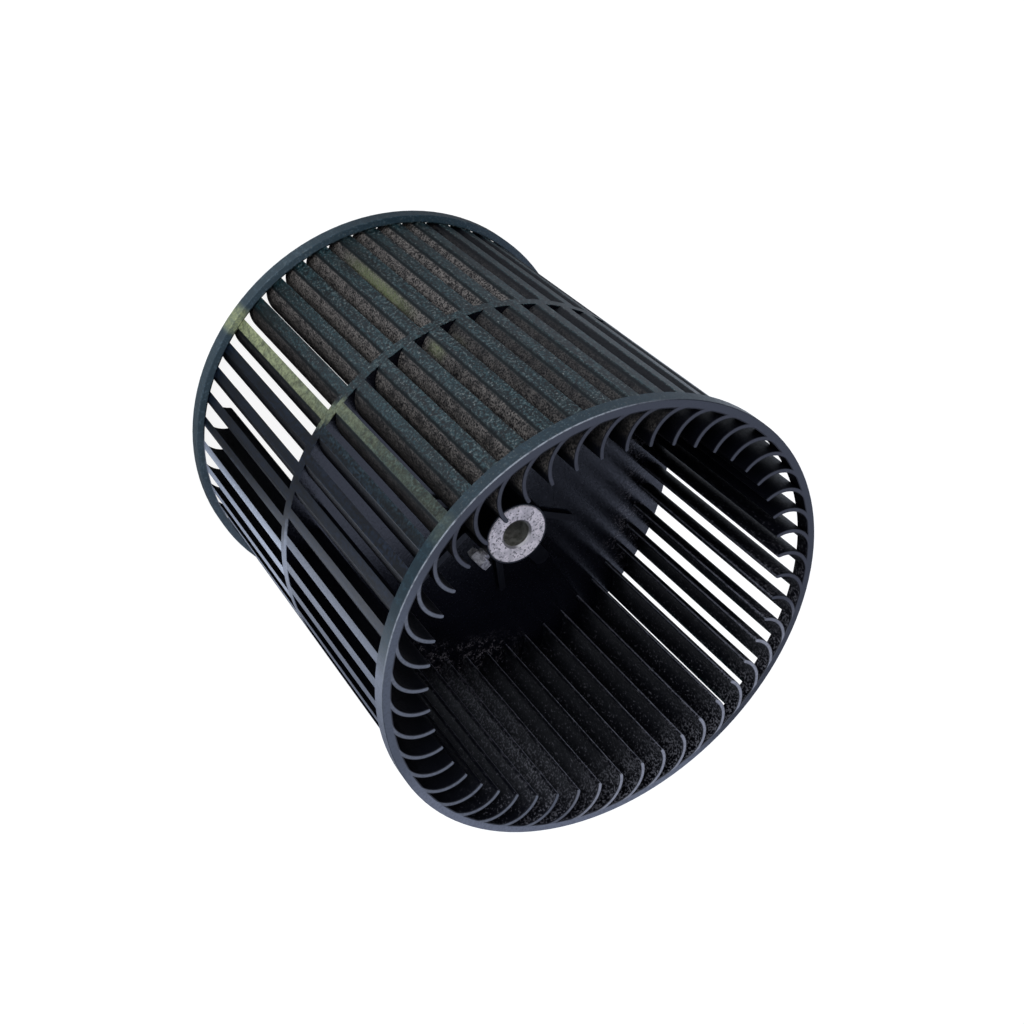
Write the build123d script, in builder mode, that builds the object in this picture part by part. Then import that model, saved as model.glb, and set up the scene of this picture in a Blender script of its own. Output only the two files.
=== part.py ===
from build123d import *
import math
import os

# Double-inlet blower wheel: one black moulding with two rows of forward-curved blades,
# a metal hub bush moulded into its centre disc, and a hexagon-head set screw.
# Millimetres. The wheel stands on its far end ring; its axis is +Z and the end that
# shows the hub is up.

# Driving sizes of the wheel
wheel_od = 203.2
wheel_length = 214.8
end_ring_width = 6.9
end_ring_wall = 3.7
end_ring_edge = 0.3
mid_band_width = 5.4
disc_thickness = 3.0
disc_rim_land = 4.0

# Driving sizes of the blades
blade_count = 48
blade_thickness = 1.75
blade_depth = 15.5
blade_tip_flat = 0.9
blade_outlet_angle = 23.0
blade_inlet_angle = 92.0
upper_row_turn = 4.2
row_stagger = 0.52

# Driving sizes of the hub
shaft_bore = 12.7
bore_chamfer = 1.0
bush_od = 28.7
bush_edge = 0.4
bush_length = 36.0
bush_above_disc = 26.2
bush_stand = 0.3
boss_wall = 1.0
boss_draft = 2.0
boss_rim_edge = 0.4
rib_count = 6
rib_width = 3.4
rib_height = 2.6
rib_reach = 31.5
pad_width = 8.0
pad_angle = 270.0
disc_weld = 0.5

# Driving sizes of the set screw
screw_diameter = 6.0
screw_below_face = 6.6
screw_head_across = 10.0
screw_head_height = 4.0
screw_head_gap = 1.0
screw_head_chamfer = 0.7
screw_head_turn = 45.0
washer_face_height = 0.5
washer_face_margin = 0.3
screw_point_chamfer = 0.8
screw_bore_clearance = 0.3
hole_clearance = 0.02
hole_runout = 3.0

# Heights along the axis
wheel_r = wheel_od / 2
mid_height = wheel_length / 2
band_bottom = mid_height - mid_band_width / 2
band_top = mid_height + mid_band_width / 2
disc_bottom = band_top - disc_thickness
bush_top = band_top + bush_above_disc
bush_bottom = bush_top - bush_length
boss_top = bush_top - bush_stand
screw_height = bush_top - screw_below_face

# Radii
cage_r = wheel_r - end_ring_wall
blade_tip_r = cage_r - blade_depth
bush_r = bush_od / 2
bore_r = shaft_bore / 2
boss_top_r = bush_r + boss_wall
boss_base_r = boss_top_r + (boss_top - band_top) * math.tan(math.radians(boss_draft))
rim_land_r = blade_tip_r - disc_rim_land
rib_end_r = boss_base_r + rib_reach

# Circular arc that meets the cage and the blade tip at the two blade angles
tip_centre_r = blade_tip_r + blade_thickness / 2
outlet = math.radians(blade_outlet_angle)
inlet = math.radians(blade_inlet_angle)
radial_square = cage_r**2 - tip_centre_r**2
tangent_gain = cage_r * math.cos(outlet) - tip_centre_r * math.cos(inlet)
camber_r = radial_square / (2 * tangent_gain)
centre_r = math.sqrt(cage_r**2 + camber_r**2 - 2 * cage_r * camber_r * math.cos(outlet))
back_r = camber_r + blade_thickness / 2
front_r = camber_r - blade_thickness / 2


def arc_turn(arc_r, reach_r):
    """Turn about the blade's centre of curvature at which an arc reaches a wheel radius."""
    cosine = (reach_r**2 - centre_r**2 - arc_r**2) / (2 * centre_r * arc_r)
    return math.acos(cosine)


def arc_point(arc_r, turn):
    """Point of an arc about the blade's centre of curvature."""
    return (centre_r + arc_r * math.cos(turn), arc_r * math.sin(turn))


back_start = arc_turn(back_r, cage_r)
front_start = arc_turn(front_r, cage_r)
tip_turn = arc_turn(camber_r, tip_centre_r)
back_outer = arc_point(back_r, back_start)
back_middle = arc_point(back_r, (back_start + tip_turn) / 2)
back_inner = arc_point(back_r, tip_turn)
front_outer = arc_point(front_r, front_start)
front_middle = arc_point(front_r, (front_start + tip_turn) / 2)
front_inner = arc_point(front_r, tip_turn)
tip_flat_turn = tip_turn + blade_thickness / 2 / camber_r
tip_back = arc_point(camber_r + blade_tip_flat / 2, tip_flat_turn)
tip_front = arc_point(camber_r - blade_tip_flat / 2, tip_flat_turn)
back_outer_angle = math.atan2(back_outer[1], back_outer[0])
front_outer_angle = math.atan2(front_outer[1], front_outer[0])
edge_angle = (back_outer_angle + front_outer_angle) / 2
edge_middle = (cage_r * math.cos(edge_angle), cage_r * math.sin(edge_angle))

# Section of one blade: two arcs, an inner tip with broken corners and an outer edge on
# the cage circle
with BuildSketch() as blade_section:
    with BuildLine():
        ThreePointArc(back_outer, back_middle, back_inner)
        Polyline(back_inner, tip_back, tip_front, front_inner)
        ThreePointArc(front_inner, front_middle, front_outer)
        ThreePointArc(front_outer, edge_middle, back_outer)
    make_face()

blade_pitch = 360 / blade_count
lower_row_turn = upper_row_turn + row_stagger * blade_pitch

with BuildPart() as wheel:
    # Centre disc, mid band and the boss round the bush, turned as one profile
    with BuildSketch(Plane.XZ) as centre_profile:
        with BuildLine():
            Polyline(
                (bush_r, bush_bottom),
                (boss_top_r, bush_bottom),
                (boss_base_r, disc_bottom),
                (rim_land_r, disc_bottom),
                (rim_land_r + disc_thickness / 2, band_bottom),
                (cage_r, band_bottom),
                (cage_r, band_top),
                (boss_base_r, band_top),
                (boss_top_r, boss_top - boss_rim_edge),
                (boss_top_r - boss_rim_edge, boss_top),
                (bush_r, boss_top),
                close=True,
            )
        make_face()
    revolve(axis=Axis.Z)
    # End rings, standing proud outside the blades, with their outer edges broken
    for ring_bottom in (0, wheel_length - end_ring_width):
        with BuildSketch(Plane.XZ) as ring_profile:
            with Locations((cage_r, ring_bottom)):
                Rectangle(end_ring_wall, end_ring_width, align=(Align.MIN, Align.MIN))
            chamfer(ring_profile.vertices().group_by(Axis.X)[-1], end_ring_edge)
        revolve(axis=Axis.Z)
    # Low ribs and the wide pad on the disc, reaching out from the boss
    with BuildSketch(Plane.XY.offset(band_top - disc_weld)) as rib_plan:
        with PolarLocations(0, rib_count):
            with Locations(((bush_r + rib_end_r) / 2, 0)):
                SlotOverall(rib_end_r - bush_r, rib_width)
        with PolarLocations(0, 1, start_angle=pad_angle):
            with Locations(((bush_r + rib_end_r) / 2, 0)):
                SlotOverall(rib_end_r - bush_r, pad_width)
        Circle(bush_r + boss_wall / 2, mode=Mode.SUBTRACT)
    extrude(amount=disc_weld + rib_height)
    # Two rows of blades, the lower one turned by part of a pitch
    with BuildSketch(Plane.XY.offset(wheel_length)) as upper_row:
        with PolarLocations(0, blade_count, start_angle=upper_row_turn):
            add(blade_section.sketch)
    extrude(amount=band_top - wheel_length)
    with BuildSketch(Plane.XY) as lower_row:
        with PolarLocations(0, blade_count, start_angle=lower_row_turn):
            add(blade_section.sketch)
    extrude(amount=band_bottom)
    # Hole for the set screw through the boss
    with Locations(Plane((0, 0, screw_height), z_dir=(-1, 0, 0))):
        Cylinder(
            screw_diameter / 2 + hole_clearance,
            boss_base_r + hole_runout,
            align=(Align.CENTER, Align.CENTER, Align.MIN),
            mode=Mode.SUBTRACT,
        )
wheel.part.label = "wheel"

with BuildPart() as hub_bush:
    with BuildSketch(Plane.XZ) as bush_profile:
        with BuildLine():
            Polyline(
                (bore_r, bush_bottom + bore_chamfer),
                (bore_r + bore_chamfer, bush_bottom),
                (bush_r, bush_bottom),
                (bush_r, bush_top - bush_edge),
                (bush_r - bush_edge, bush_top),
                (bore_r + bore_chamfer, bush_top),
                (bore_r, bush_top - bore_chamfer),
                close=True,
            )
        make_face()
    revolve(axis=Axis.Z)
    with Locations(Plane((0, 0, screw_height), z_dir=(-1, 0, 0))):
        Cylinder(
            screw_diameter / 2 + hole_clearance,
            bush_od,
            align=(Align.CENTER, Align.CENTER, Align.MIN),
            mode=Mode.SUBTRACT,
        )
hub_bush.part.label = "hub_bush"

# Set screw along its own axis, from the point outwards
screw_point_x = bore_r + screw_bore_clearance
head_seat_x = boss_base_r + screw_head_gap
head_start_x = head_seat_x + washer_face_height
head_end_x = head_start_x + screw_head_height
head_corner_r = screw_head_across / math.sqrt(3)
head_face_r = screw_head_across / 2 - screw_head_chamfer / 2
screw_plane = Plane((0, 0, screw_height), x_dir=(0, 1, 0), z_dir=(-1, 0, 0))

with BuildPart() as set_screw:
    # Hexagon head, its corners turned off by a cone at the outer face
    with BuildSketch(screw_plane.offset(head_start_x)) as hexagon:
        RegularPolygon(head_corner_r, 6, rotation=screw_head_turn)
    extrude(amount=screw_head_height)
    with BuildSketch(Plane.XZ) as head_profile:
        with BuildLine():
            Polyline(
                (-head_start_x, screw_height),
                (-head_start_x, screw_height + head_corner_r),
                (screw_head_chamfer - head_end_x, screw_height + head_corner_r),
                (-head_end_x, screw_height + head_face_r),
                (-head_end_x, screw_height),
                close=True,
            )
        make_face()
    revolve(axis=Axis((0, 0, screw_height), (1, 0, 0)), mode=Mode.INTERSECT)
    with BuildSketch(screw_plane.offset(head_seat_x)) as washer_face:
        Circle(screw_head_across / 2 - washer_face_margin)
    extrude(amount=washer_face_height)
    with BuildSketch(screw_plane.offset(screw_point_x)) as shank:
        Circle(screw_diameter / 2)
    extrude(amount=head_seat_x - screw_point_x)
    chamfer(set_screw.faces().sort_by(Axis.X)[-1].edges(), screw_point_chamfer)
set_screw.part.label = "set_screw"

os.makedirs("parts", exist_ok=True)
export_step(wheel.part, "parts/wheel.step")
export_step(hub_bush.part, "parts/hub_bush.step")
export_step(set_screw.part, "parts/set_screw.step")
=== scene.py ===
import math
from types import SimpleNamespace

import bmesh
import bpy
from mathutils import Matrix, Vector


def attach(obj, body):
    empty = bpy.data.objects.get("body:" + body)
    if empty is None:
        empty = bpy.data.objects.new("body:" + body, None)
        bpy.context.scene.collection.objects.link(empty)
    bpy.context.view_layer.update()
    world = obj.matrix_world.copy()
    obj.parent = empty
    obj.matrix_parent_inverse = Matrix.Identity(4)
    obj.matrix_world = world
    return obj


# Double-inlet blower wheel: looks for the black moulding, its hub bush and its set screw,
# the thread on the screw, and the studio round them. Metres, in the part's own frame.

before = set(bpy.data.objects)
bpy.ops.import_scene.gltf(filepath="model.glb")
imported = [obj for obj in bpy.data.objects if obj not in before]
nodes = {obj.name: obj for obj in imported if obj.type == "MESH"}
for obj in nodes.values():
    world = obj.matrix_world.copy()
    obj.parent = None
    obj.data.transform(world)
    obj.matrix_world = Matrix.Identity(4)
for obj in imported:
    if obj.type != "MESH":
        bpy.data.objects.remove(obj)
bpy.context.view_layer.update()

# The wheel's own measures, as its drawing gives them
WHEEL_R = 0.1016
WHEEL_LENGTH = 0.2148
END_RING_WIDTH = 0.0069
END_RING_WALL = 0.0037
BAND_HALF = 0.0027
CAGE_R = WHEEL_R - END_RING_WALL
BLADE_COUNT = 48
BLADE_THICKNESS = 0.00175
BLADE_DEPTH = 0.0155
BLADE_TIP_R = CAGE_R - BLADE_DEPTH
BLADE_OUTLET_ANGLE = math.radians(23.0)
BLADE_INLET_ANGLE = math.radians(92.0)
UPPER_ROW_TURN = math.radians(4.2)
ROW_STAGGER = 0.52
MID_HEIGHT = WHEEL_LENGTH / 2
BLADE_PITCH = 2 * math.pi / BLADE_COUNT

# Circular arc that each blade's middle line follows
TIP_CENTRE_R = BLADE_TIP_R + BLADE_THICKNESS / 2
CAMBER_R = (CAGE_R**2 - TIP_CENTRE_R**2) / (
    2 * (CAGE_R * math.cos(BLADE_OUTLET_ANGLE) - TIP_CENTRE_R * math.cos(BLADE_INLET_ANGLE))
)
ARC_CENTRE_R = math.sqrt(
    CAGE_R**2 + CAMBER_R**2 - 2 * CAGE_R * CAMBER_R * math.cos(BLADE_OUTLET_ANGLE)
)

# The screw's own measures, and the short stretch of thread that shows outside the boss
SCREW_HEIGHT = 0.1297
SCREW_R = 0.003
THREAD_PITCH = 0.001
THREAD_TURNS = 1.05
THREAD_STEPS_A_TURN = 24
THREAD_START_X = -0.0159
THREAD_HALF_WIDTH = 0.3 * THREAD_PITCH
THREAD_CREST_R = SCREW_R + 0.00025
THREAD_ROOT_R = SCREW_R - 0.0001

# The studio's own measures: metres, and millimetres for the lens
FLOOR_HALF_WIDTH = 6.0
CAMERA_PLACE = (0.005454, 0.450018, 0.608827)
CAMERA_HEADING = math.radians(180.0)
CAMERA_TILT = math.radians(42.852)
CAMERA_ROLL = math.radians(134.409)
SENSOR_WIDTH = 36.0
LENS = 52.09


# Small makers of shader nodes: a plain number or colour is set, a socket is linked

def feed(tree, socket, value):
    """Links a socket, or sets a plain value."""
    if isinstance(value, bpy.types.NodeSocket):
        tree.links.new(value, socket)
    elif isinstance(value, tuple) and len(value) == 3 and socket.type == "RGBA":
        socket.default_value = (*value, 1.0)
    else:
        socket.default_value = value


def calc(tree, operation, *values, clamp=False):
    """One step of arithmetic."""
    node = tree.nodes.new("ShaderNodeMath")
    node.operation = operation
    node.use_clamp = clamp
    for socket, value in zip(node.inputs, values):
        feed(tree, socket, value)
    return node.outputs[0]


def rise(tree, value, start, end, low=0.0, high=1.0):
    """Goes smoothly from low to high as value goes from start to end."""
    node = tree.nodes.new("ShaderNodeMapRange")
    node.interpolation_type = "SMOOTHSTEP"
    for name, given in (
        ("Value", value),
        ("From Min", start),
        ("From Max", end),
        ("To Min", low),
        ("To Max", high),
    ):
        feed(tree, node.inputs[name], given)
    return node.outputs["Result"]


def grain(tree, place, scale, detail=4.0, roughness=0.6, stretch=None):
    """Noise between 0 and 1 about the middle, over the object's own coordinates."""
    if stretch is not None:
        mapping = tree.nodes.new("ShaderNodeMapping")
        tree.links.new(place, mapping.inputs["Vector"])
        mapping.inputs["Scale"].default_value = stretch
        place = mapping.outputs["Vector"]
    node = tree.nodes.new("ShaderNodeTexNoise")
    tree.links.new(place, node.inputs["Vector"])
    node.inputs["Scale"].default_value = scale
    node.inputs["Detail"].default_value = detail
    node.inputs["Roughness"].default_value = roughness
    return node.outputs["Fac"]


def mix(tree, share, first, second):
    """Blend of two colours."""
    node = tree.nodes.new("ShaderNodeMix")
    node.data_type = "RGBA"
    feed(tree, node.inputs["Factor"], share)
    feed(tree, node.inputs[6], first)
    feed(tree, node.inputs[7], second)
    return node.outputs[2]


def bump(tree, height, distance, strength=1.0):
    """Surface relief of a given depth in metres."""
    node = tree.nodes.new("ShaderNodeBump")
    node.inputs["Strength"].default_value = strength
    node.inputs["Distance"].default_value = distance
    tree.links.new(height, node.inputs["Height"])
    return node.outputs["Normal"]


def new_finish(name):
    """A material with one principled shader, and the object's own coordinates."""
    material = bpy.data.materials.new(name)
    material.use_nodes = True
    tree = material.node_tree
    shader = tree.nodes["Principled BSDF"]
    place = tree.nodes.new("ShaderNodeTexCoord").outputs["Object"]
    return material, tree, shader, place


def dress(node_name, material):
    """Gives a CAD node its finish."""
    slots = nodes[node_name].data.materials
    slots.clear()
    slots.append(material)


def between(tree, value, start, end, soft):
    """One inside a range, nought outside it, with soft edges."""
    opens = rise(tree, value, start - soft, start + soft)
    closes = rise(tree, value, end - soft, end + soft, 1.0, 0.0)
    return calc(tree, "MULTIPLY", opens, closes)


def product(tree, *factors):
    """Several masks multiplied together."""
    result = factors[0]
    for factor in factors[1:]:
        result = calc(tree, "MULTIPLY", result, factor)
    return result


def wheel_place(tree, place):
    """Radius, angle in degrees and height of a point of the wheel."""
    split = tree.nodes.new("ShaderNodeSeparateXYZ")
    tree.links.new(place, split.inputs[0])
    x, y, z = split.outputs
    square = calc(tree, "ADD", calc(tree, "MULTIPLY", x, x), calc(tree, "MULTIPLY", y, y))
    angle = calc(tree, "DEGREES", calc(tree, "ARCTAN2", y, x))
    return calc(tree, "SQRT", square), angle, z


def blade_place(tree, radius, angle, height):
    """Distance from the nearest blade's middle line, outwards from its centre of curvature,
    and one in the lower row of blades."""
    lower = rise(tree, height, MID_HEIGHT - 0.0001, MID_HEIGHT + 0.0001, 1.0, 0.0)
    pitch = math.degrees(BLADE_PITCH)
    turn = calc(tree, "MULTIPLY_ADD", lower, ROW_STAGGER * pitch, math.degrees(UPPER_ROW_TURN))
    reach = calc(tree, "MULTIPLY", radius, radius)
    constant = ARC_CENTRE_R**2 - CAMBER_R**2
    cosine = calc(
        tree,
        "DIVIDE",
        calc(tree, "ADD", reach, constant),
        calc(tree, "MULTIPLY", radius, 2 * ARC_CENTRE_R),
    )
    line = calc(tree, "DEGREES", calc(tree, "ARCCOSINE", calc(tree, "MINIMUM", cosine, 1.0)))
    along = calc(tree, "SUBTRACT", calc(tree, "SUBTRACT", angle, turn), line)
    offset = calc(tree, "WRAP", along, pitch / 2, -pitch / 2)
    swing = calc(tree, "RADIANS", calc(tree, "ADD", line, offset))
    across = calc(
        tree,
        "MULTIPLY",
        calc(tree, "MULTIPLY", radius, -2 * ARC_CENTRE_R),
        calc(tree, "COSINE", swing),
    )
    square = calc(tree, "ADD", calc(tree, "ADD", reach, ARC_CENTRE_R**2), across)
    return calc(tree, "SUBTRACT", calc(tree, "SQRT", square), CAMBER_R), lower


def wheel_zones(tree, place):
    """Measures and masks that say where on the wheel a point is."""
    radius, angle, height = wheel_place(tree, place)
    side, lower = blade_place(tree, radius, angle, height)
    raised = calc(tree, "ABSOLUTE", calc(tree, "SUBTRACT", height, MID_HEIGHT))
    ring_start = MID_HEIGHT - END_RING_WIDTH
    off_rings = rise(tree, raised, ring_start + 0.0001, ring_start - 0.0001)
    ring = rise(tree, radius, CAGE_R + 0.0003, CAGE_R + 0.0006)
    skin = calc(tree, "MULTIPLY", rise(tree, radius, CAGE_R - 0.0004, CAGE_R - 0.0001), off_rings)
    skin = calc(tree, "MAXIMUM", skin, ring)
    inside = calc(tree, "SUBTRACT", 1.0, skin)
    off_disc = rise(tree, raised, BAND_HALF + 0.0001, BAND_HALF + 0.0006)
    bladed = rise(tree, radius, BLADE_TIP_R - 0.002, BLADE_TIP_R + 0.001)
    return SimpleNamespace(
        radius=radius,
        angle=angle,
        around=calc(tree, "WRAP", angle, 360.0, 0.0),
        height=height,
        side=side,
        lower=lower,
        ring=ring,
        skin=skin,
        inside=inside,
        end_face=rise(tree, height, WHEEL_LENGTH - 0.0006, WHEEL_LENGTH - 0.0002),
        off_disc=off_disc,
        disc=product(tree, inside, calc(tree, "SUBTRACT", 1.0, off_disc)),
        bladed=bladed,
        slots=product(tree, inside, bladed, off_disc),
        dusty_side=between(tree, angle, 40.0, 104.0, 6.0),
    )


def moulding_grains(tree, place):
    """Noises that the layers of film, dust and wear share."""
    return SimpleNamespace(
        fine=grain(tree, place, 900, 3.0),
        speck=grain(tree, place, 1000, 1.0),
        lint=grain(tree, place, 1300, 3.0, 0.7),
        broad=grain(tree, place, 18, 3.0),
        clump=grain(tree, place, 240, 3.0, 0.7),
        streak=grain(tree, place, 500, 2.0, 0.6, (1.0, 1.0, 0.05)),
    )


def outer_film_and_sheen(tree, at, grains):
    """Mottled coat on the outside with painted light in its tone: teal up to 98 degrees and darker
    blue from 110 degrees, a painted sheen on the far ring and a painted pale reflection from 127 to
    178 degrees.
    """
    # painted light and shade: the coat is teal up to 98 degrees and darker blue from 110 degrees, a
    # tone that stands for the light on each side
    film_and_sheen = mix(tree, rise(tree, at.angle, 98.0, 110.0), (0.009, 0.031, 0.038), (0.004, 0.009, 0.022))
    # painted sheen: the far ring's colour lightens from 48 to 85 degrees, toward the light
    far_ring_sheen = calc(tree, "MULTIPLY", at.lower, rise(tree, at.angle, 48.0, 85.0, 0.2, 1.0))
    ring_film_and_sheen = mix(tree, far_ring_sheen, (0.012, 0.030, 0.044), (0.058, 0.085, 0.110))
    film_and_sheen = mix(tree, at.ring, film_and_sheen, ring_film_and_sheen)
    # painted reflection: pale lavender on the strips from 127 to 178 degrees, where they reflect the
    # bright surroundings
    pale_sheen = mix(tree, at.lower, (0.110, 0.122, 0.170), (0.42, 0.45, 0.56))
    pale_sheen = mix(tree, at.off_disc, (0.18, 0.195, 0.26), pale_sheen)
    onward = calc(tree, "MULTIPLY_ADD", at.lower, -4.0, at.angle)
    off_far_ring = calc(tree, "SUBTRACT", 1.0, calc(tree, "MULTIPLY", at.ring, at.lower))
    starts = rise(tree, onward, 127.0, 137.0)
    fades_out = rise(tree, at.angle, 178.0, 158.0)
    sheen_part = product(tree, starts, fades_out, off_far_ring)
    film_and_sheen = mix(tree, sheen_part, film_and_sheen, pale_sheen)
    streaks = rise(tree, grains.streak, 0.34, 0.60, 0.35, 1.0)
    mottle = calc(tree, "MULTIPLY", rise(tree, grains.fine, 0.38, 0.60), streaks)
    mottle = calc(tree, "MAXIMUM", mottle, calc(tree, "MULTIPLY", at.ring, 0.6))
    mottle = calc(tree, "MAXIMUM", mottle, calc(tree, "MULTIPLY", sheen_part, 0.8))
    film_and_sheen = mix(tree, mottle, (0.0, 0.0, 0.0), film_and_sheen)
    bright_specks = rise(tree, grains.speck, 0.66, 0.72, 0.0, 2.0)
    spots = calc(tree, "ADD", rise(tree, grains.fine, 0.56, 0.66), bright_specks)
    dusty_skin = rise(tree, at.angle, 112.0, 75.0, 0.04, 1.0)
    dusty_skin = calc(tree, "MULTIPLY", dusty_skin, calc(tree, "MULTIPLY_ADD", at.ring, -0.6, 1.0))
    return mix(tree, product(tree, spots, dusty_skin, 0.65), film_and_sheen, (0.095, 0.105, 0.105))


def olive_highlight(tree, at, grains, film_and_sheen):
    """Painted olive highlight on one strip of each row, and on the band and ring beside it, in
    patches.
    """
    strip = calc(tree, "SUBTRACT", at.angle, calc(tree, "MULTIPLY", at.lower, 2.5))
    clumps = rise(tree, grains.clump, 0.30, 0.62, 0.45, 1.0)
    patchy = calc(tree, "MULTIPLY", clumps, rise(tree, grains.fine, 0.36, 0.60, 0.5, 1.0))
    # painted highlight: the strip of each row that faces the key lamp is lit olive, broken into
    # patches by grain
    olive = product(tree, between(tree, strip, 95.8, 102.5, 1.6), patchy, 0.85)
    stronger_down = rise(tree, at.height, 0.0, 0.185, 1.1, 0.12)
    return mix(tree, calc(tree, "MULTIPLY", olive, stronger_down), film_and_sheen, (0.29, 0.31, 0.17))


def blade_backs(tree, at, grains, colour):
    """Dust that the air has left on the backs of the blades, thick where they turn inwards, with a
    painted shade line beside the outer strip and a painted olive glint on some faces.
    """
    deep = rise(tree, at.radius, CAGE_R - 0.0006, CAGE_R - 0.0014)
    # painted shade: a dark line where the face turns in from the outer strip
    shade = between(tree, at.radius, CAGE_R - 0.0010, CAGE_R - 0.0004, 0.0002)
    amount = rise(tree, at.angle, 86.0, 97.0, 1.0, 0.35)
    amount = product(tree, amount, rise(tree, at.lower, 0.0, 1.0, 0.85, 1.3))
    near_start = rise(tree, at.angle, 60.0, 70.0, 0.4, 1.0)
    amount = product(tree, amount, calc(tree, "MAXIMUM", at.lower, near_start))
    clumps = rise(tree, grains.clump, 0.34, 0.58, 0.35, 1.0)
    grit = product(tree, rise(tree, grains.lint, 0.42, 0.58), clumps, amount)
    dust = mix(tree, grit, (0.004, 0.0035, 0.004), (0.115, 0.100, 0.096))
    mottle = rise(tree, grains.fine, 0.40, 0.62)
    film_face = mix(tree, mottle, (0.001, 0.004, 0.006), (0.026, 0.036, 0.038))
    face = mix(tree, deep, film_face, dust)
    face = mix(tree, calc(tree, "MULTIPLY", shade, 0.85), face, (0.002, 0.003, 0.004))
    # painted light: an olive glint on the blade faces from 66 to 71.5 degrees
    lit_strip = between(tree, at.radius, CAGE_R - 0.0045, CAGE_R - 0.0012, 0.0006)
    lit_face = product(tree, between(tree, at.angle, 66.0, 71.5, 3.0), lit_strip)
    lower_length = between(tree, at.height, 0.028, 0.080, 0.018)
    lengths = calc(tree, "MAXIMUM", lower_length, between(tree, at.height, 0.116, 0.126, 0.005))
    lit_face = product(tree, lit_face, lengths, rise(tree, grains.fine, 0.36, 0.60, 0.5, 1.0))
    face = mix(tree, calc(tree, "MULTIPLY", lit_face, 0.75), face, (0.13, 0.15, 0.07))
    back = rise(tree, at.side, 0.0002, 0.0006)
    shallow = rise(tree, at.radius, BLADE_TIP_R + 0.004, BLADE_TIP_R + 0.0075)
    return mix(tree, product(tree, at.slots, back, at.dusty_side, shallow), colour, face)


def sifted_specks(tree, at, grains, colour):
    """Thin grey specks between the blades on the low side, thickest near the open end."""
    low_end = between(tree, at.around, 225.0, 320.0, 18.0)
    near_end = rise(tree, at.height, WHEEL_LENGTH - 0.026, WHEEL_LENGTH - 0.001)
    settled = product(tree, low_end, near_end, rise(tree, grains.speck, 0.48, 0.62))
    far_in = between(tree, at.around, 209.0, 224.0, 4.0)
    left_in = product(tree, far_in, rise(tree, grains.speck, 0.50, 0.62), 0.9)
    scatter = rise(tree, grains.speck, 0.63, 0.70, 0.0, 0.9)
    specks = calc(tree, "MAXIMUM", calc(tree, "MAXIMUM", settled, left_in), scatter)
    sifted = product(tree, at.slots, specks)
    low_side = between(tree, at.around, 190.0, 335.0, 10.0)
    return mix(tree, calc(tree, "MULTIPLY", sifted, low_side), colour, (0.085, 0.082, 0.098))


def pale_tips(tree, at, grains, colour):
    """Pale line along the blades' inner edges, on the low side."""
    tip = rise(tree, at.radius, BLADE_TIP_R + 0.0006, BLADE_TIP_R + 0.0002)
    broken = rise(tree, grains.fine, 0.36, 0.62, 0.25, 1.0)
    lined = product(tree, tip, at.bladed, at.off_disc, rise(tree, at.side, 0.0, 0.0003), broken)
    lined = calc(tree, "MULTIPLY", lined, between(tree, at.around, 190.0, 320.0, 15.0))
    return mix(tree, lined, colour, (0.15, 0.15, 0.19))


def swept_rim(tree, at, grains, colour):
    """Dust swept to two stretches of the disc's rim."""
    first_stretch = between(tree, at.around, 196.0, 238.0, 12.0)
    swept_part = calc(tree, "MAXIMUM", first_stretch, between(tree, at.angle, -72.0, -10.0, 8.0))
    swept = product(tree, at.disc, rise(tree, at.radius, 0.069, 0.080), swept_part)
    clumps = rise(tree, grains.clump, 0.46, 0.60)
    swept = product(tree, swept, clumps, rise(tree, grains.speck, 0.44, 0.62), 0.9)
    return mix(tree, swept, colour, (0.070, 0.064, 0.072))


def ends_with_painted_light(tree, at, grains, colour):
    """End faces of the ring and the blades with painted reflection, palest on one side; painted
    shade on the blade ends' rounded edges, and a painted highlight on the ring's outer edge.
    """
    # painted reflection: the end faces are paler on one side, palest from 168 to 262 degrees on the
    # ring and 224 to 306 on the blades
    rim_side = between(tree, at.around, 112.0, 266.0, 10.0)
    rim_end = mix(tree, rim_side, (0.020, 0.022, 0.031), (0.048, 0.055, 0.074))
    rim_palest = between(tree, at.around, 168.0, 262.0, 10.0)
    rim_end = mix(tree, rim_palest, rim_end, (0.104, 0.112, 0.146))
    blade_side = between(tree, at.around, 108.0, 218.0, 8.0)
    blade_end = mix(tree, blade_side, (0.033, 0.034, 0.047), (0.088, 0.094, 0.118))
    blade_palest = between(tree, at.around, 224.0, 306.0, 8.0)
    blade_end = mix(tree, blade_palest, blade_end, (0.205, 0.205, 0.240))
    end = mix(tree, calc(tree, "MULTIPLY", at.bladed, at.inside), rim_end, blade_end)
    end = mix(tree, rise(tree, grains.fine, 0.34, 0.60, 0.7, 1.0), (0.0, 0.0, 0.0), end)
    # painted shade: a dark line along the rounded edges of the blade ends
    edge = rise(tree, calc(tree, "ABSOLUTE", at.side), 0.00055, 0.00075)
    eased = product(tree, at.bladed, at.inside, edge)
    end = mix(tree, calc(tree, "MULTIPLY", eased, 0.85), end, (0.003, 0.003, 0.005))
    colour = mix(tree, at.end_face, colour, end)
    # painted highlight: a pale line on the ring's outer edge from 50 to 135 degrees, broken by
    # clumps
    outer_edge = rise(tree, at.radius, WHEEL_R - 0.0004, WHEEL_R - 0.0001)
    top_edge = rise(tree, at.height, WHEEL_LENGTH - 0.0009, WHEEL_LENGTH - 0.0003)
    lit_edge_side = between(tree, at.angle, 50.0, 135.0, 15.0)
    clumps = rise(tree, grains.clump, 0.35, 0.55, 0.3, 1.0)
    arris = product(tree, outer_edge, top_edge, lit_edge_side, clumps)
    return mix(tree, arris, colour, (0.19, 0.20, 0.235))


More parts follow.
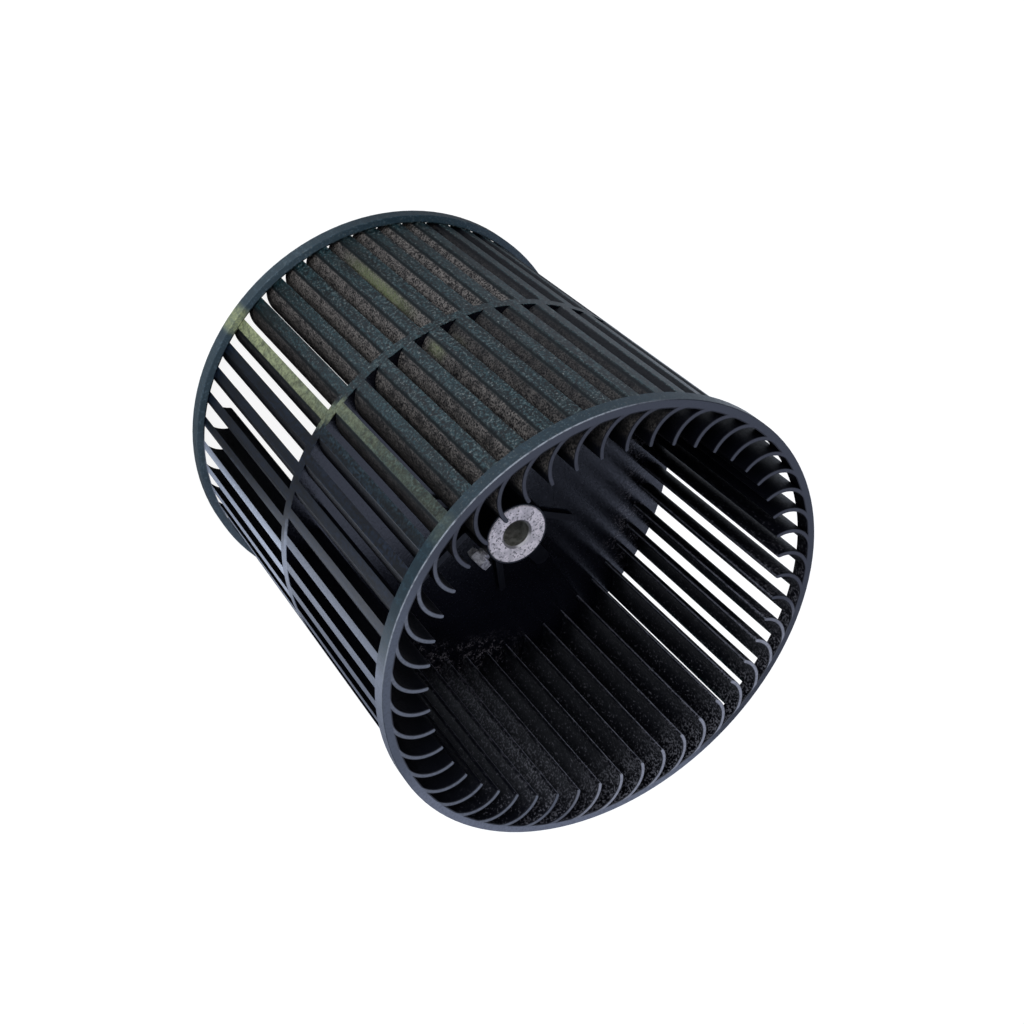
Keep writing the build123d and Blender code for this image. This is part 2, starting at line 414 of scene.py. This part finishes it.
def black_moulding():
    """Satin black plastic: a mottled coat outside with painted sheen and a painted olive highlight,
    dust on the backs of the blades with a painted shade line and glint, dust on the disc's rim,
    specks in the slots, a pale line on the blade tips, and painted reflection, shade and highlight
    on the ends."""
    material, tree, shader, place = new_finish("black_moulding")
    at = wheel_zones(tree, place)
    grains = moulding_grains(tree, place)
    patches = rise(tree, grains.broad, 0.35, 0.7)
    bare = mix(tree, patches, (0.0008, 0.0008, 0.0020), (0.0022, 0.0024, 0.0046))
    film_and_sheen = olive_highlight(tree, at, grains, outer_film_and_sheen(tree, at, grains))
    colour = mix(tree, at.skin, bare, film_and_sheen)
    for layer in (blade_backs, sifted_specks, pale_tips, swept_rim, ends_with_painted_light):
        colour = layer(tree, at, grains, colour)
    feed(tree, shader.inputs["Base Color"], colour)
    rough = rise(tree, grains.fine, 0.3, 0.7, 0.28, 0.42)
    rough = calc(tree, "MULTIPLY_ADD", at.slots, 0.20, rough)
    rough = calc(tree, "MULTIPLY_ADD", product(tree, at.slots, at.dusty_side), 0.15, rough)
    rough = calc(tree, "MULTIPLY_ADD", at.disc, -0.14, rough)
    feed(tree, shader.inputs["Roughness"], rough)
    shader.inputs["Specular IOR Level"].default_value = 0.5
    feed(tree, shader.inputs["Normal"], bump(tree, grains.fine, 0.00006, 0.7))
    return material


def cast_bush():
    """Pale faced metal with dark pores, a chamfer with a painted highlight on one side and painted
    shade on the rest, and a dull olive bore.
    """
    material, tree, shader, place = new_finish("cast_bush")
    radius, angle, _ = wheel_place(tree, place)
    pores = rise(tree, grain(tree, place, 900, 2.0), 0.37, 0.46)
    cloud = rise(tree, grain(tree, place, 260, 3.0), 0.35, 0.65)
    face = mix(tree, cloud, (0.48, 0.44, 0.46), (0.74, 0.67, 0.69))
    face = mix(tree, pores, (0.18, 0.17, 0.18), face)
    bore = mix(tree, cloud, (0.15, 0.145, 0.125), (0.34, 0.33, 0.30))
    # painted highlight and shade: the chamfer is bright from -125 to -55 degrees and dark elsewhere
    lit_part = between(tree, angle, -125.0, -55.0, 12.0)
    chamfer = mix(tree, lit_part, (0.20, 0.19, 0.20), (0.78, 0.74, 0.76))
    face = mix(tree, rise(tree, radius, 0.00725, 0.00745), chamfer, face)
    colour = mix(tree, rise(tree, radius, 0.00640, 0.00655), bore, face)
    feed(tree, shader.inputs["Base Color"], colour)
    shader.inputs["Metallic"].default_value = 0.15
    shader.inputs["Roughness"].default_value = 0.5
    feed(tree, shader.inputs["Normal"], bump(tree, pores, 0.00008, 0.8))
    return material


def plated_screw():
    """Dull plated steel."""
    material, tree, shader, place = new_finish("plated_screw")
    stain = rise(tree, grain(tree, place, 600, 3.0), 0.35, 0.65)
    colour = mix(tree, stain, (0.16, 0.15, 0.17), (0.40, 0.39, 0.42))
    feed(tree, shader.inputs["Base Color"], colour)
    shader.inputs["Metallic"].default_value = 0.3
    shader.inputs["Roughness"].default_value = 0.35
    feed(tree, shader.inputs["Normal"], bump(tree, stain, 0.00003, 0.6))
    return material


def screw_thread():
    """The turns of thread that show between the boss and the screw's head."""
    mesh = bpy.data.meshes.new("screw_thread")
    shape = bmesh.new()
    section = (
        (THREAD_START_X + THREAD_HALF_WIDTH, THREAD_ROOT_R),
        (THREAD_START_X, THREAD_CREST_R),
        (THREAD_START_X - THREAD_HALF_WIDTH, THREAD_ROOT_R),
    )
    corners = [shape.verts.new((along, 0.0, SCREW_HEIGHT + out)) for along, out in section]
    start = shape.faces.new(corners)
    bmesh.ops.spin(
        shape,
        geom=[start, *start.edges, *start.verts],
        cent=(0.0, 0.0, SCREW_HEIGHT),
        axis=(-1.0, 0.0, 0.0),
        dvec=(-THREAD_PITCH / THREAD_STEPS_A_TURN, 0.0, 0.0),
        angle=2 * math.pi * THREAD_TURNS,
        steps=round(THREAD_STEPS_A_TURN * THREAD_TURNS),
        use_merge=False,
    )
    bmesh.ops.recalc_face_normals(shape, faces=shape.faces)
    shape.to_mesh(mesh)
    shape.free()
    thread = bpy.data.objects.new("screw_thread", mesh)
    bpy.context.scene.collection.objects.link(thread)
    mesh.materials.append(nodes["set_screw"].data.materials[0])
    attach(thread, "root")


dress("wheel", black_moulding())
dress("hub_bush", cast_bush())
dress("set_screw", plated_screw())
screw_thread()


# The studio

def soft_lamp(name, place, target, size, power, tint, glossy=False):
    """A square soft box pointed at a target."""
    data = bpy.data.lights.new(name, "AREA")
    data.shape = "SQUARE"
    data.size = size
    data.energy = power
    data.color = tint
    lamp = bpy.data.objects.new(name, data)
    bpy.context.scene.collection.objects.link(lamp)
    lamp.location = place
    lamp.rotation_mode = "QUATERNION"
    lamp.rotation_quaternion = (Vector(target) - Vector(place)).to_track_quat("-Z", "Y")
    lamp.visible_glossy = glossy


def white_floor():
    """A wide pale floor that shows white; the glow that gloss on the wheel sees has painted shadows
    under the wheel and in set directions round it.
    """
    mesh = bpy.data.meshes.new("floor")
    shape = bmesh.new()
    bmesh.ops.create_grid(shape, x_segments=1, y_segments=1, size=FLOOR_HALF_WIDTH)
    shape.to_mesh(mesh)
    shape.free()
    floor = bpy.data.objects.new("floor", mesh)
    bpy.context.scene.collection.objects.link(floor)
    material = bpy.data.materials.new("floor_paint")
    material.use_nodes = True
    tree = material.node_tree
    tree.nodes.clear()
    paint = tree.nodes.new("ShaderNodeBsdfDiffuse")
    paint.inputs["Color"].default_value = (0.8, 0.8, 0.8, 1.0)
    shadowed = tree.nodes.new("ShaderNodeBsdfDiffuse")
    shadowed.inputs["Color"].default_value = (0.18, 0.18, 0.19, 1.0)
    glow = tree.nodes.new("ShaderNodeEmission")
    spot = tree.nodes.new("ShaderNodeTexCoord").outputs["Object"]
    reach, azimuth, _ = wheel_place(tree, spot)
    rays = tree.nodes.new("ShaderNodeLightPath")
    # painted shadow in the gloss: the floor's glow goes dark under the wheel
    open_floor = rise(tree, reach, 0.11, 0.17)
    # painted shadows in the gloss: the glow is dimmed in set directions round the wheel
    cast = between(tree, azimuth, -30.0, 154.0, 12.0)
    deep = between(tree, azimuth, 106.0, 151.0, 8.0)
    right = between(tree, azimuth, -30.0, 62.0, 12.0)
    beyond = between(tree, calc(tree, "WRAP", azimuth, 360.0, 0.0), 185.0, 322.0, 12.0)
    mirrored = calc(tree, "SUBTRACT", 1.0, calc(tree, "MULTIPLY", cast, 0.62))
    mirrored = calc(tree, "SUBTRACT", mirrored, calc(tree, "MULTIPLY", deep, 0.34))
    mirrored = calc(tree, "SUBTRACT", mirrored, calc(tree, "MULTIPLY", right, 0.20))
    mirrored = calc(tree, "SUBTRACT", mirrored, calc(tree, "MULTIPLY", beyond, 0.90))
    under = calc(tree, "MULTIPLY", open_floor, mirrored)
    glossy = rays.outputs["Is Glossy Ray"]
    feed(tree, glow.inputs["Color"], mix(tree, glossy, (1.0, 1.0, 1.0), (0.88, 0.96, 1.12)))
    glow_for_gloss = calc(tree, "MULTIPLY", glossy, under)
    plain = calc(tree, "SUBTRACT", 1.0, glossy)
    strength = calc(tree, "MULTIPLY_ADD", plain, 0.9, glow_for_gloss)
    feed(tree, glow.inputs["Strength"], strength)
    lit = tree.nodes.new("ShaderNodeAddShader")
    tree.links.new(shadowed.outputs[0], lit.inputs[0])
    tree.links.new(glow.outputs[0], lit.inputs[1])
    seen = calc(tree, "MAXIMUM", rays.outputs["Is Camera Ray"], glossy)
    seen = calc(tree, "MAXIMUM", seen, rays.outputs["Is Transmission Ray"])
    swap = tree.nodes.new("ShaderNodeMixShader")
    tree.links.new(seen, swap.inputs[0])
    tree.links.new(paint.outputs[0], swap.inputs[1])
    tree.links.new(lit.outputs[0], swap.inputs[2])
    out = tree.nodes.new("ShaderNodeOutputMaterial")
    tree.links.new(swap.outputs[0], out.inputs["Surface"])
    mesh.materials.append(material)


def studio_air():
    """Air that shows white to the camera, is faintly blue as light and dim in the gloss."""
    world = bpy.data.worlds.new("studio_air")
    bpy.context.scene.world = world
    world.use_nodes = True
    tree = world.node_tree
    air = tree.nodes["Background"]
    rays = tree.nodes.new("ShaderNodeLightPath")
    seen = rays.outputs["Is Camera Ray"]
    feed(tree, air.inputs["Color"], mix(tree, seen, (0.74, 0.84, 1.0), (1.0, 1.0, 1.0)))
    level = calc(tree, "MULTIPLY_ADD", rays.outputs["Is Glossy Ray"], -0.4, 0.5)
    feed(tree, air.inputs["Strength"], calc(tree, "MULTIPLY_ADD", seen, 0.5, level))


def studio_camera():
    """A camera that looks down on the hub end, with the wheel lying to the lower right."""
    data = bpy.data.cameras.new("camera")
    data.sensor_width = SENSOR_WIDTH
    data.lens = LENS
    camera = bpy.data.objects.new("camera", data)
    bpy.context.scene.collection.objects.link(camera)
    heading = Matrix.Rotation(CAMERA_HEADING, 4, "Z")
    tilt = Matrix.Rotation(CAMERA_TILT, 4, "X")
    roll = Matrix.Rotation(CAMERA_ROLL, 4, "Z")
    camera.matrix_world = Matrix.Translation(CAMERA_PLACE) @ heading @ tilt @ roll
    bpy.context.scene.camera = camera


white_floor()
soft_lamp(
    "key_box",
    place=(-0.1, 1.3, 0.75),
    target=(0, 0, 0.1),
    size=0.9,
    power=18.0,
    tint=(0.93, 1.0, 0.97),
)
soft_lamp(
    "top_box",
    place=(0.5, 0.3, 1.6),
    target=(0, 0, 0.1),
    size=1.2,
    power=9.0,
    tint=(1.0, 0.99, 1.0),
)
soft_lamp(
    "sheen_box",
    place=(0.0, -0.85, 1.40),
    target=(0, 0, 0.11),
    size=1.1,
    power=4.6,
    tint=(0.64, 0.72, 1.0),
    glossy=True,
)
studio_air()
studio_camera()
bpy.context.scene.view_settings.view_transform = "Standard"
